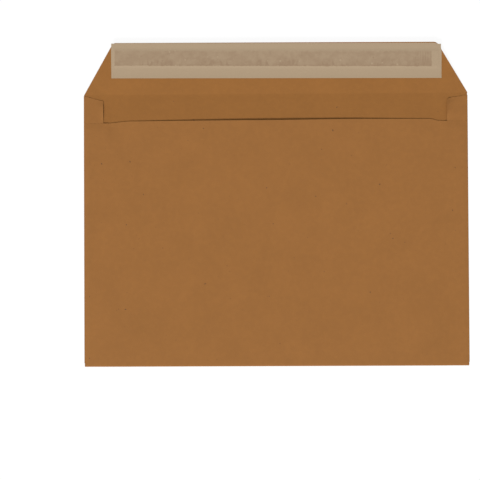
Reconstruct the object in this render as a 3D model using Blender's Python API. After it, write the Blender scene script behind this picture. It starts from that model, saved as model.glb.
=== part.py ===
"""Kraft peel-and-seal envelope, lying seam side up with its seal flap open.

One die-cut sheet makes the front panel, two side flaps, the back panel and the seal flap. A band of
adhesive lies on the seal flap under a release liner, and two lines of dried gum hold the side seams.

Metres, +Z up. +X runs across the envelope and +Y from the pocket towards the seal flap. The origin is
at the middle of the envelope's outline, on the surface that its front panel lies on.
"""

from math import atan2, cos, pi, radians, sin, sqrt, tan

import bmesh
import bpy
from mathutils import Vector

# The paper and its folded outline
PAPER_THICKNESS = 0.00014
BODY_WIDTH = 0.324
BODY_HEIGHT = 0.229

# Seal flap: depth along the paper from the crease, and the width of its far edge
FLAP_DEPTH = 0.0442
FLAP_EDGE_WIDTH = 0.273
FLAP_CORNER_RADIUS = 0.003
FLAP_RISE = radians(5.6)
CREASE_LENGTH = 0.0012

# Side flaps: width from the folded edge, and how their ends are cut back
SIDE_FLAP_WIDTH = 0.017
SIDE_FLAP_TOP_DROP = 0.0009
SIDE_FLAP_TOP_SLANT = 0.0028
SIDE_FLAP_FOOT_RISE = 0.003
SIDE_FLAP_FOOT_SLANT = 0.004
SIDE_FLAP_CORNER_RADIUS = 0.002

# Back panel: the mouth edge lies this far below the top crease, and lower near the side seams
THROAT_DEPTH = 0.0213
BACK_PANEL_INSET = 0.0006
MOUTH_DROP = 0.0019
MOUTH_DROP_LENGTH = 0.008
MOUTH_DROP_FROM_SIDE_FLAP = 0.0042
MOUTH_CORNER_RADIUS = 0.0012
MOUTH_BOW = 0.0006

# How the layers lie on each other
SIDE_FOLD_GAP = 0.0003
STACK_GAP = 0.0001
GLUE_THICKNESS = 0.00006

# Gum on the side seams
GLUE_SIDE_MARGIN = 0.003
GLUE_MOUTH_MARGIN = 0.006
GLUE_FOOT_MARGIN = 0.008

# Adhesive band on the seal flap, which runs a little towards the crease on its way to the right
BAND_WIDTH = 0.013
BAND_THICKNESS = 0.00008
BAND_FROM_FLAP_EDGE = 0.0065
BAND_LEFT_CLEARANCE = 0.0047
BAND_RIGHT_CLEARANCE = 0.0083
BAND_SLOPE = 0.008

# Release liner over the band, which does the same
LINER_WIDTH = 0.0295
LINER_THICKNESS = 0.00007
LINER_FROM_FLAP_EDGE = 0.00015
LINER_LEFT_MARGIN = 0.0029
LINER_RIGHT_MARGIN = 0.0085
LINER_SLOPE = 0.0056

# Mesh fineness
MIDDLE_COLUMNS = 10
PANEL_ROWS = 5
BACK_ROWS = 9
FLAP_ROWS = 4
SIDE_FOLD_STEPS = 4
BOTTOM_FOLD_STEPS = 6
CREASE_STEPS = 2
CORNER_STEPS = 4
SIDE_FLAP_COLUMNS = 3
DROP_COLUMNS = 3
MERGE_DISTANCE = 1e-6

# Layer heights, at the middle of the paper
HALF_PAPER = PAPER_THICKNESS / 2
SIDE_FOLD_RADIUS = (SIDE_FOLD_GAP + PAPER_THICKNESS) / 2
FRONT_Z = HALF_PAPER
SIDE_FLAP_Z = FRONT_Z + 2 * SIDE_FOLD_RADIUS
GLUE_Z = SIDE_FLAP_Z + HALF_PAPER + STACK_GAP + GLUE_THICKNESS / 2
BACK_Z = GLUE_Z + GLUE_THICKNESS / 2 + STACK_GAP + HALF_PAPER
BOTTOM_FOLD_RADIUS = (BACK_Z - FRONT_Z) / 2

# Where the flat part of the front panel ends at its folds
FLAT_HALF_WIDTH = BODY_WIDTH / 2 - SIDE_FOLD_RADIUS - HALF_PAPER
BACK_HALF_WIDTH = min(BODY_WIDTH / 2 - BACK_PANEL_INSET, FLAT_HALF_WIDTH)
SIDE_FLAP_INNER_X = BODY_WIDTH / 2 - SIDE_FLAP_WIDTH

# Seal flap, seen along X
CREASE_RADIUS = CREASE_LENGTH / FLAP_RISE
FLAP_SLANT = atan2(FLAT_HALF_WIDTH - FLAP_EDGE_WIDTH / 2, FLAP_DEPTH)


def flap_profile(depth):
    """Y from the crease and Z of the paper's middle, at a depth along the seal flap, with its slope."""
    bend = min(depth, CREASE_LENGTH) / CREASE_RADIUS
    straight = max(depth - CREASE_LENGTH, 0.0)
    y = CREASE_RADIUS * sin(bend) + straight * cos(bend)
    z = FRONT_Z + CREASE_RADIUS * (1 - cos(bend)) + straight * sin(bend)
    return y, z, bend


FLAP_REACH = flap_profile(FLAP_DEPTH)[0] + HALF_PAPER * sin(FLAP_RISE)
CREASE_Y = (BODY_HEIGHT - FLAP_REACH) / 2
BOTTOM_Y = CREASE_Y - BODY_HEIGHT
FLAT_BOTTOM_Y = BOTTOM_Y + BOTTOM_FOLD_RADIUS + HALF_PAPER


def clear_scene():
    """Removes what the scene holds."""
    for item in list(bpy.data.objects):
        bpy.data.objects.remove(item, do_unlink=True)


def make_material(name, colour, roughness):
    """A plain Principled material."""
    material = bpy.data.materials.new(name)
    material.use_nodes = True
    shader = material.node_tree.nodes["Principled BSDF"]
    shader.inputs["Base Color"].default_value = (*colour, 1.0)
    shader.inputs["Roughness"].default_value = roughness
    shader.inputs["Metallic"].default_value = 0.0
    material.diffuse_color = (*colour, 1.0)
    return material


def spread(start, end, steps):
    """Evenly spaced values from start to end, both included."""
    return [start + (end - start) * step / steps for step in range(steps + 1)]


def smooth_step(value):
    """0 up to 0, 1 from 1 on, and a smooth rise between."""
    value = min(max(value, 0.0), 1.0)
    return value * value * (3 - 2 * value)


def corner_cut(distance, radius):
    """How far a corner of this radius cuts an edge back, at a distance from the corner's side."""
    if distance >= radius:
        return 0.0
    return radius - sqrt(max(radius**2 - (radius - distance) ** 2, 0.0))


def corner_places(radius):
    """Distances from a corner's side at which its arc is drawn, the side itself first."""
    return [radius * (1 - cos(pi / 2 * step / CORNER_STEPS)) for step in range(CORNER_STEPS + 1)]


def panel_columns():
    """X of the columns that the front panel, the back panel and the seal flap share."""
    drop_end = SIDE_FLAP_INNER_X - MOUTH_DROP_FROM_SIDE_FLAP
    half = spread(0.0, drop_end - MOUTH_DROP_LENGTH, MIDDLE_COLUMNS)
    half += spread(drop_end - MOUTH_DROP_LENGTH, drop_end, DROP_COLUMNS)[1:]
    half += [BACK_HALF_WIDTH - place for place in reversed(corner_places(MOUTH_CORNER_RADIUS))]
    if FLAT_HALF_WIDTH - BACK_HALF_WIDTH > MERGE_DISTANCE:
        half.append(FLAT_HALF_WIDTH)
    return [-x for x in reversed(half[1:])] + half


def add_surface(mesh, rows):
    """Adds a surface through rows of points, all of one length."""
    lines = [[mesh.verts.new(point) for point in row] for row in rows]
    for low, high in zip(lines, lines[1:]):
        for left in range(len(low) - 1):
            mesh.faces.new((low[left], low[left + 1], high[left + 1], high[left]))


def panel_row_heights():
    """Y of the front panel's rows: the bottom fold, the side flaps' stretch and the crease."""
    foot = BOTTOM_Y + SIDE_FLAP_FOOT_RISE
    head = CREASE_Y - SIDE_FLAP_TOP_DROP
    return [FLAT_BOTTOM_Y] + spread(foot, head, PANEL_ROWS) + [CREASE_Y]


def front_panel(mesh):
    """The address side, flat on the table."""
    add_surface(mesh, [[(x, y, FRONT_Z) for x in panel_columns()] for y in panel_row_heights()])


def side_flap_ends(inward):
    """Y of a side flap's foot and head, at a distance inward from where its fold ends."""
    width = FLAT_HALF_WIDTH - SIDE_FLAP_INNER_X
    share = inward / width
    cut = corner_cut(width - inward, SIDE_FLAP_CORNER_RADIUS)
    foot = BOTTOM_Y + SIDE_FLAP_FOOT_RISE + SIDE_FLAP_FOOT_SLANT * share + cut
    head = CREASE_Y - SIDE_FLAP_TOP_DROP - SIDE_FLAP_TOP_SLANT * share - cut
    return foot, head


def side_flap(mesh, side):
    """A side flap with its fold, at side -1 or 1, from the front panel inwards."""
    width = FLAT_HALF_WIDTH - SIDE_FLAP_INNER_X
    places = spread(0.0, width - SIDE_FLAP_CORNER_RADIUS, SIDE_FLAP_COLUMNS)
    places += [width - place for place in reversed(corner_places(SIDE_FLAP_CORNER_RADIUS))][1:]
    rows = []
    for row in range(PANEL_ROWS + 1):
        share = row / PANEL_ROWS
        points = []
        foot, head = side_flap_ends(0.0)
        for angle in spread(0.0, pi, SIDE_FOLD_STEPS):
            x = FLAT_HALF_WIDTH + SIDE_FOLD_RADIUS * sin(angle)
            z = FRONT_Z + SIDE_FOLD_RADIUS * (1 - cos(angle))
            points.append((side * x, foot + (head - foot) * share, z))
        for inward in places[1:]:
            foot, head = side_flap_ends(inward)
            points.append((side * (FLAT_HALF_WIDTH - inward), foot + (head - foot) * share, SIDE_FLAP_Z))
        rows.append(points)
    add_surface(mesh, rows)


def mouth_y(x):
    """Y of the back panel's mouth edge."""
    drop_end = SIDE_FLAP_INNER_X - MOUTH_DROP_FROM_SIDE_FLAP
    share = (abs(x) - (drop_end - MOUTH_DROP_LENGTH)) / MOUTH_DROP_LENGTH
    cut = corner_cut(BACK_HALF_WIDTH - abs(x), MOUTH_CORNER_RADIUS)
    return CREASE_Y - THROAT_DEPTH - MOUTH_DROP * smooth_step(share) - cut


def back_height(x, y):
    """Z of the back panel's paper: flat on the seams, bowed towards the middle of the mouth."""
    across = smooth_step(1 - abs(x) / SIDE_FLAP_INNER_X)
    along = (y - FLAT_BOTTOM_Y) / (CREASE_Y - THROAT_DEPTH - FLAT_BOTTOM_Y)
    return BACK_Z + MOUTH_BOW * across * smooth_step(along)


def back_panel(mesh):
    """The bottom fold and the back panel, up to the mouth."""
    columns = [x for x in panel_columns() if abs(x) <= BACK_HALF_WIDTH + MERGE_DISTANCE]
    rows = []
    for angle in spread(0.0, pi, BOTTOM_FOLD_STEPS):
        y = FLAT_BOTTOM_Y - BOTTOM_FOLD_RADIUS * sin(angle)
        z = FRONT_Z + BOTTOM_FOLD_RADIUS * (1 - cos(angle))
        rows.append([(x, y, z) for x in columns])
    for row in range(1, BACK_ROWS + 1):
        points = []
        for x in columns:
            y = FLAT_BOTTOM_Y + (mouth_y(x) - FLAT_BOTTOM_Y) * row / BACK_ROWS
            points.append((x, y, back_height(x, y)))
        rows.append(points)
    add_surface(mesh, rows)


def flap_half_width(depth):
    """Half the seal flap's width at a depth from the crease, with its rounded corners."""
    corner_depth = FLAP_DEPTH - FLAP_CORNER_RADIUS
    if depth > corner_depth + FLAP_CORNER_RADIUS * sin(FLAP_SLANT):
        centre = FLAP_EDGE_WIDTH / 2 - FLAP_CORNER_RADIUS * tan((pi / 2 - FLAP_SLANT) / 2)
        return centre + sqrt(max(FLAP_CORNER_RADIUS**2 - (depth - corner_depth) ** 2, 0.0))
    return FLAT_HALF_WIDTH - depth * tan(FLAP_SLANT)


def flap_rows():
    """Depths from the crease at which the seal flap is drawn."""
    arc_start = FLAP_DEPTH - FLAP_CORNER_RADIUS * (1 - sin(FLAP_SLANT))
    rows = spread(0.0, CREASE_LENGTH, CREASE_STEPS)
    rows += spread(CREASE_LENGTH, arc_start, FLAP_ROWS)[1:]
    for angle in spread(FLAP_SLANT, pi / 2, CORNER_STEPS)[1:]:
        rows.append(FLAP_DEPTH - FLAP_CORNER_RADIUS * (1 - sin(angle)))
    return rows


def seal_flap(mesh):
    """The open seal flap, from the crease to its far edge."""
    rows = []
    for depth in flap_rows():
        y, z, _ = flap_profile(depth)
        stretch = flap_half_width(depth) / FLAT_HALF_WIDTH
        rows.append([(x * stretch, CREASE_Y + y, z) for x in panel_columns()])
    add_surface(mesh, rows)


def envelope_sheet():
    """The folded sheet: every panel joined along its folds, then given the paper's thickness."""
    surface = bmesh.new()
    front_panel(surface)
    side_flap(surface, -1)
    side_flap(surface, 1)
    back_panel(surface)
    seal_flap(surface)
    bmesh.ops.remove_doubles(surface, verts=surface.verts, dist=MERGE_DISTANCE)
    bmesh.ops.recalc_face_normals(surface, faces=surface.faces)
    mesh = bpy.data.meshes.new("envelope_sheet")
    surface.to_mesh(mesh)
    surface.free()
    sheet = bpy.data.objects.new("envelope_sheet", mesh)
    bpy.context.collection.objects.link(sheet)
    thickness = sheet.modifiers.new("Paper thickness", "SOLIDIFY")
    thickness.thickness = PAPER_THICKNESS
    thickness.offset = 0.0
    thickness.use_even_offset = True
    mesh.materials.append(make_material("Kraft paper", (0.332, 0.147, 0.045), 0.85))
    return sheet


def plate(name, corners, normal, thickness, material):
    """A thin flat piece: its four lower corners, raised along the normal by its thickness."""
    body = bmesh.new()
    base = body.faces.new([body.verts.new(corner) for corner in corners])
    raised = bmesh.ops.extrude_face_region(body, geom=[base])
    tops = [item for item in raised["geom"] if isinstance(item, bmesh.types.BMVert)]
    bmesh.ops.translate(body, verts=tops, vec=normal * thickness)
    bmesh.ops.recalc_face_normals(body, faces=body.faces)
    mesh = bpy.data.meshes.new(name)
    body.to_mesh(mesh)
    body.free()
    mesh.materials.append(material)
    item = bpy.data.objects.new(name, mesh)
    bpy.context.collection.objects.link(item)
    return item


def flap_plate(name, ends, depths, slope, lift, thickness, material):
    """A plate on the seal flap's inner face.

    It lies between two X values, and at its left end between two depths from the crease. Towards its
    right end it nears the crease by the slope.
    """
    normal = Vector((0, -sin(FLAP_RISE), cos(FLAP_RISE)))
    left, right = ends
    near, far = depths
    shift = slope * (right - left)
    corners = []
    for x, depth in ((left, near), (right, near - shift), (right, far - shift), (left, far)):
        y, z, _ = flap_profile(depth)
        corners.append(Vector((x, CREASE_Y + y, z)) + normal * (HALF_PAPER + lift))
    return plate(name, corners, normal, thickness, material)


def seal_strips():
    """The adhesive band on the seal flap and the release liner over it."""
    band_far = FLAP_DEPTH - BAND_FROM_FLAP_EDGE
    room = flap_half_width(band_far)
    band_left = -room + BAND_LEFT_CLEARANCE
    band_right = room - BAND_RIGHT_CLEARANCE
    adhesive = make_material("Seal adhesive", (0.52, 0.40, 0.26), 0.35)
    flap_plate(
        "adhesive_band",
        (band_left, band_right),
        (band_far - BAND_WIDTH, band_far),
        BAND_SLOPE,
        STACK_GAP,
        BAND_THICKNESS,
        adhesive,
    )
    liner_far = FLAP_DEPTH - LINER_FROM_FLAP_EDGE
    liner_paper = make_material("Release liner paper", (0.440, 0.328, 0.216), 0.45)
    flap_plate(
        "release_liner",
        (band_left - LINER_LEFT_MARGIN, band_right + LINER_RIGHT_MARGIN),
        (liner_far - LINER_WIDTH, liner_far),
        LINER_SLOPE,
        2 * STACK_GAP + BAND_THICKNESS,
        LINER_THICKNESS,
        liner_paper,
    )


def seam_glue():
    """The line of dried gum between each side flap and the back panel."""
    gum = make_material("Seam gum", (0.62, 0.50, 0.34), 0.4)
    inner = SIDE_FLAP_INNER_X + GLUE_SIDE_MARGIN
    outer = BODY_WIDTH / 2 - GLUE_SIDE_MARGIN
    foot = BOTTOM_Y + GLUE_FOOT_MARGIN
    head = CREASE_Y - THROAT_DEPTH - MOUTH_DROP - GLUE_MOUTH_MARGIN
    base = GLUE_Z - GLUE_THICKNESS / 2
    for name, side in (("seam_glue_left", -1), ("seam_glue_right", 1)):
        near, far = sorted((side * inner, side * outer))
        corners = [(near, foot, base), (far, foot, base), (far, head, base), (near, head, base)]
        plate(name, corners, Vector((0, 0, 1)), GLUE_THICKNESS, gum)


clear_scene()
envelope_sheet()
seal_strips()
seam_glue()
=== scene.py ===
"""Kraft peel-and-seal envelope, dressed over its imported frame.

The envelope lies seam side up with its seal flap open. The folded sheet is made again as a fine surface
with its creases, bow and cockle, and the adhesive and the release liner are laid on its flap. Metres,
+Z up: +X runs across the envelope and +Y from the pocket towards the seal flap.
"""

import logging
from dataclasses import dataclass, field
from enum import Enum
from math import atan2, cos, exp, pi, radians, sin, sqrt, tan

import bpy
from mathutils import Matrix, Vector

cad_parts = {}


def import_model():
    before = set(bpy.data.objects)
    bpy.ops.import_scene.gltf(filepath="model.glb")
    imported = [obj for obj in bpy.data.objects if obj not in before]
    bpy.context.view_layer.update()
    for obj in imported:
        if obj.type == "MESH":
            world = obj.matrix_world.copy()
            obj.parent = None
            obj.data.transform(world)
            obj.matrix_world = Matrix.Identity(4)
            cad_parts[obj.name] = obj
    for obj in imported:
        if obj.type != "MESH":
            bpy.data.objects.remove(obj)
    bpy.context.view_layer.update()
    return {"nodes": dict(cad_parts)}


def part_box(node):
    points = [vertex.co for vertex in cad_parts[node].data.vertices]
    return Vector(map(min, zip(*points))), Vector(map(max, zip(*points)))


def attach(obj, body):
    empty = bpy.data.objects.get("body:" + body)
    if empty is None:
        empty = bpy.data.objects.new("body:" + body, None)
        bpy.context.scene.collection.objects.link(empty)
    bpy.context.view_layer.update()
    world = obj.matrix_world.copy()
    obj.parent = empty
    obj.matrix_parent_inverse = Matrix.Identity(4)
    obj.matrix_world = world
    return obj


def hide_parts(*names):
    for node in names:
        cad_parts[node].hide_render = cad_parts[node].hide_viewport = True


LOG = logging.getLogger("envelope")
BODY = "root"
MM = 0.001
SHARP_ANGLE = radians(40)
SAME_POINT = 0.002 * MM
Object = bpy.types.Object
Mesh = bpy.types.Mesh
Material = bpy.types.Material
NodeTree = bpy.types.NodeTree
Socket = bpy.types.NodeSocket
Point = tuple[float, float, float]
Colour = tuple[float, float, float]
Span = tuple[float, float]
WHITE = (1.0, 1.0, 1.0, 1.0)


class PaperSide(Enum):
    """The surfaces that a sheet of paper shows, in the order of its material slots."""

    OUTER = 0
    INNER = 1
    CUT = 2


def ease(value: float, length: float = 1.0) -> float:
    """0 up to 0, 1 from the length on, and a smooth rise between.

    Args:
        value: Where on the rise.
        length: The rise's length.

    Returns:
        The height, from 0 to 1.
    """
    share = min(max(value / length, 0.0), 1.0)
    return share * share * (3 - 2 * share)


def spread(start: float, end: float, steps: int) -> list[float]:
    """Evenly spaced values from start to end, both included."""
    return [start + (end - start) * step / steps for step in range(steps + 1)]


def corner_cut(distance: float, radius: float) -> float:
    """How far a corner of this radius cuts an edge back, at a distance from the corner's side.

    Args:
        distance: From the corner's side.
        radius: The corner's radius.

    Returns:
        The cut.
    """
    if distance >= radius:
        return 0.0
    return radius - sqrt(max(radius**2 - (radius - distance) ** 2, 0.0))


def arc_places(radius: float, steps: int) -> list[float]:
    """Distances from a corner's side at which its arc is drawn, the side itself first."""
    return [radius * (1 - cos(pi / 2 * step / steps)) for step in range(steps + 1)]


def scaled(colour: Colour, factor: float) -> Colour:
    """A colour made lighter or darker."""
    return tuple(part * factor for part in colour)


def new_object(name: str, data: bpy.types.ID) -> Object:
    """Adds an object to the scene.

    Args:
        name: The object's name.
        data: Its mesh, lamp or camera.

    Returns:
        The object.
    """
    item = bpy.data.objects.new(name, data)
    bpy.context.collection.objects.link(item)
    return item


class Tree:
    """A node tree being filled."""

    def __init__(self, tree: NodeTree) -> None:
        """Takes the tree to fill."""
        self.tree = tree

    def feed(self, socket: Socket, value: object) -> None:
        """Links an output to an input, or sets the input's own value.

        Args:
            socket: The input.
            value: An output, or a value.
        """
        if isinstance(value, Socket):
            self.tree.links.new(value, socket)
        else:
            socket.default_value = value

    def add(self, kind: str, inputs: dict | None = None, **settings: object) -> bpy.types.Node:
        """Adds a node.

        Args:
            kind: The node's type.
            inputs: A value or an output socket for each input, by its name or number.
            settings: Properties of the node itself.

        Returns:
            The node.
        """
        node = self.tree.nodes.new(kind)
        for name, value in settings.items():
            setattr(node, name, value)
        for key, value in (inputs or {}).items():
            self.feed(node.inputs[key], value)
        return node

    def math(self, operation: str, *values: object) -> Socket:
        """The result of a Math node on one, two or three values."""
        return self.add("ShaderNodeMath", dict(enumerate(values)), operation=operation).outputs[0]

    def less(self, value: object, taken: object) -> Socket:
        """A value with another taken from it."""
        return self.math("SUBTRACT", value, taken)

    def product(self, *values: object) -> Socket:
        """The values multiplied, from the first to the last.

        Args:
            values: Outputs or numbers.

        Returns:
            The product.
        """
        total = values[0]
        for value in values[1:]:
            total = self.math("MULTIPLY", total, value)
        return total

    def weighed(self, base: object, *parts: tuple[Socket, object]) -> Socket:
        """A base to which each part is added times its weight.

        Args:
            base: What to start from.
            parts: Each part with its weight.

        Returns:
            The sum.
        """
        for part, weight in parts:
            base = self.math("MULTIPLY_ADD", part, weight, base)
        return base

    def parts(self, vector: Socket) -> list[Socket]:
        """A vector's X, Y and Z."""
        return list(self.add("ShaderNodeSeparateXYZ", {"Vector": vector}).outputs)

    def vector(self, *parts: object) -> Socket:
        """A vector of X, Y and Z."""
        return self.add("ShaderNodeCombineXYZ", dict(enumerate(parts))).outputs[0]

    def ramp(self, value: Socket, low: float, high: float, start: float = 0.0, end: float = 1.0) -> Socket:
        """A smooth rise of a value from start to end as it goes from low to high."""
        inputs = {"Value": value, "From Min": low, "From Max": high, "To Min": start, "To Max": end}
        return self.add("ShaderNodeMapRange", inputs, interpolation_type="SMOOTHSTEP").outputs["Result"]

    def fall(self, value: Socket, low: float, high: float) -> Socket:
        """1 up to low, 0 from high on, and a smooth fall between."""
        return self.ramp(value, low, high, 1.0, 0.0)

    def noise(self, place: Socket, scale: object, detail: float = 2.0, twist: float = 0.0) -> Socket:
        """Smooth noise from 0 to 1, of this many features to the metre."""
        inputs = {"Vector": place, "Scale": scale, "Detail": detail, "Distortion": twist}
        return self.add("ShaderNodeTexNoise", inputs).outputs[0]

    def cells(self, place: Socket, scale: float) -> tuple[Socket, Socket]:
        """The distance from the nearest of scattered points, and that point's chance from 0 to 1.

        Args:
            place: Where.
            scale: How many points lie along a metre.

        Returns:
            The distance and the chance.
        """
        cells = self.add("ShaderNodeTexVoronoi", {"Vector": place, "Scale": scale}).outputs
        chance = self.add("ShaderNodeSeparateColor", {"Color": cells["Color"]}).outputs[0]
        return cells["Distance"], chance

    def stretched(self, place: Socket, turn: float, stretch: float) -> Socket:
        """Coordinates turned about Z and then stretched along Y."""
        turned = self.add("ShaderNodeMapping", {"Vector": place, "Rotation": (0.0, 0.0, turn)}).outputs[0]
        return self.add("ShaderNodeMapping", {"Vector": turned, "Scale": (1.0, stretch, 1.0)}).outputs[0]

    def blend(self, share: Socket, first: object, second: object) -> Socket:
        """A colour between two, by a share from 0 to 1.

        Args:
            share: How much of the second.
            first: A colour, or an output.
            second: The same.

        Returns:
            The colour.
        """
        colours = [each if isinstance(each, Socket) else (*each, 1.0) for each in (first, second)]
        inputs = {0: share, 6: colours[0], 7: colours[1]}
        return self.add("ShaderNodeMix", inputs, data_type="RGBA").outputs[2]

    def shades(self, share: Socket, colour: Colour, dark: float, light: float) -> Socket:
        """A colour between its dark and its light shade, by a share from 0 to 1."""
        return self.blend(share, scaled(colour, dark), scaled(colour, light))


class Surface(Tree):
    """A new material being filled."""

    def __init__(self, name: str) -> None:
        """Makes the material, and reads the place on the piece.

        Args:
            name: The material's name.
        """
        self.material = bpy.data.materials.new(name)
        self.material.use_nodes = True
        super().__init__(self.material.node_tree)
        self.shader = self.tree.nodes["Principled BSDF"].inputs
        self.place = self.add("ShaderNodeTexCoord").outputs["Object"]

    def dress(self, colour: Socket, rough: object, gloss: float = 0.5) -> None:
        """Gives the shader its colour, its roughness and its strength of reflection."""
        for name, value in (("Base Color", colour), ("Roughness", rough), ("Specular IOR Level", gloss)):
            self.feed(self.shader[name], value)

    def relief(self, height: Socket, strength: float, depth: float) -> None:
        """Gives the shader a fine relief, too shallow for the mesh."""
        bump = self.add("ShaderNodeBump", {"Strength": strength, "Distance": depth, "Height": height})
        self.feed(self.shader["Normal"], bump.outputs[0])


class GeometryTree(Tree):
    """A new Geometry Nodes tree being filled."""

    def __init__(self, name: str, **inputs: str) -> None:
        """Makes the tree.

        Args:
            name: The tree's name.
            inputs: The names of its inputs, with commas between, for each kind of socket.
        """
        super().__init__(bpy.data.node_groups.new(name, "GeometryNodeTree"))
        for kind, names in {"Geometry": "Geometry", **inputs}.items():
            for title in names.split(", "):
                self.tree.interface.new_socket(title, in_out="INPUT", socket_type="NodeSocket" + kind)
        self.tree.interface.new_socket("Geometry", in_out="OUTPUT", socket_type="NodeSocketGeometry")
        self.given = self.add("NodeGroupInput").outputs

    def attribute(self, name: str) -> Socket:
        """A number that the mesh holds for each point."""
        return self.add("GeometryNodeInputNamedAttribute", {"Name": name}, data_type="FLOAT").outputs[0]

    def finish(self, geometry: Socket, looks: list[dict[str, object]]) -> NodeTree:
        """Ends the tree: instances are made real and each look's material is set.

        Args:
            geometry: What the tree has made.
            looks: For each material, the inputs of the node that sets it.

        Returns:
            The tree's own data.
        """
        result = self.add("GeometryNodeRealizeInstances", {"Geometry": geometry}).outputs[0]
        for look in looks:
            result = self.add("GeometryNodeSetMaterial", {"Geometry": result, **look}).outputs[0]
        self.add("NodeGroupOutput", {0: result})
        return self.tree


@dataclass(frozen=True)
class Blots:
    """Blots of noise of a scale, whose values from low to high become start to end."""

    scale: float
    low: float
    high: float
    start: float = 0.0
    end: float = 1.0
    detail: float = 1.0
    twist: float = 0.0

    def share(self, tree: Surface, place: Socket | None = None) -> Socket:
        """The blots' strength at each point, or at places of their own."""
        noise = tree.noise(place or tree.place, self.scale, self.detail, self.twist)
        return tree.ramp(noise, self.low, self.high, self.start, self.end)


@dataclass(frozen=True)
class KraftFinish:
    """Brown kraft paper: cloudy formation, fibres lying every way and a few dark shives."""

    colour: Colour
    tooth: float = 0.25
    roughness: float = 0.84
    gloss: float = 0.25
    contrast: float = 0.17
    base_tone: float = 0.07
    cloud_scale: float = 34.0
    cloud_share: float = 0.42
    formation_scale: float = 300.0
    formation_share: float = 0.28
    grain_scale: float = 1700.0
    grain_share: float = 0.18
    fibre_scale: float = 210.0
    fibre_stretch: float = 9.0
    fibre_line: float = 0.03
    fibre_turns: tuple[float, ...] = (0.15, 1.2, 2.3)
    fibre_patches: Blots = Blots(210.0, 0.42, 0.62)
    fibre_share: float = 0.25
    fleck_scale: float = 95.0
    fleck_size: float = 0.055
    fleck_turn: float = 0.7
    fleck_stretch: float = 1.9
    fleck_share: float = -0.75

    def fibres(self, tree: Surface) -> Socket:
        """How much of a fibre shows at each point, from 0 to 1.

        Args:
            tree: The material being filled.

        Returns:
            The fibres' strength.
        """
        total = 0.0
        for number, turn in enumerate(self.fibre_turns):
            lined = tree.stretched(tree.place, turn, self.fibre_stretch)
            waves = tree.noise(lined, self.fibre_scale * (1 + 0.3 * number), 2.0, 0.6)
            line = tree.fall(tree.math("ABSOLUTE", tree.less(waves, 0.5)), 0.0, self.fibre_line)
            total = tree.math("MAXIMUM", total, line)
        return tree.product(total, self.fibre_patches.share(tree))

    def flecks(self, tree: Surface) -> Socket:
        """Dark shives, small and far apart.

        Args:
            tree: The material being filled.

        Returns:
            How much of one shows, from 0 to 1.
        """
        place = tree.stretched(tree.place, self.fleck_turn, self.fleck_stretch)
        distance, chance = tree.cells(place, self.fleck_scale)
        spot = tree.fall(distance, 0.3 * self.fleck_size, self.fleck_size)
        return tree.product(spot, tree.ramp(chance, 0.45, 0.9))

    def build(self, name: str) -> Material:
        """Makes the material.

        Args:
            name: The material's name.

        Returns:
            The material.
        """
        tree = Surface(name)
        clouds = tree.noise(tree.place, self.cloud_scale, 2.0, 0.4)
        formation = tree.noise(tree.place, self.formation_scale, 3.0)
        grain = tree.noise(tree.place, self.grain_scale)
        fibres = self.fibres(tree)
        shares = [(clouds, self.cloud_share), (formation, self.formation_share), (grain, self.grain_share)]
        shares += [(fibres, self.fibre_share), (self.flecks(tree), self.fleck_share)]
        tone = tree.weighed(self.base_tone, *shares)
        colour = tree.shades(tone, self.colour, 1 - self.contrast, 1 + self.contrast)
        rough = tree.weighed(self.roughness - 0.06, (formation, 0.12))
        tree.dress(colour, rough, self.gloss)
        tree.relief(tree.weighed(grain, (fibres, 0.5)), self.tooth, 0.05 * MM)
        return tree.material


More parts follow.
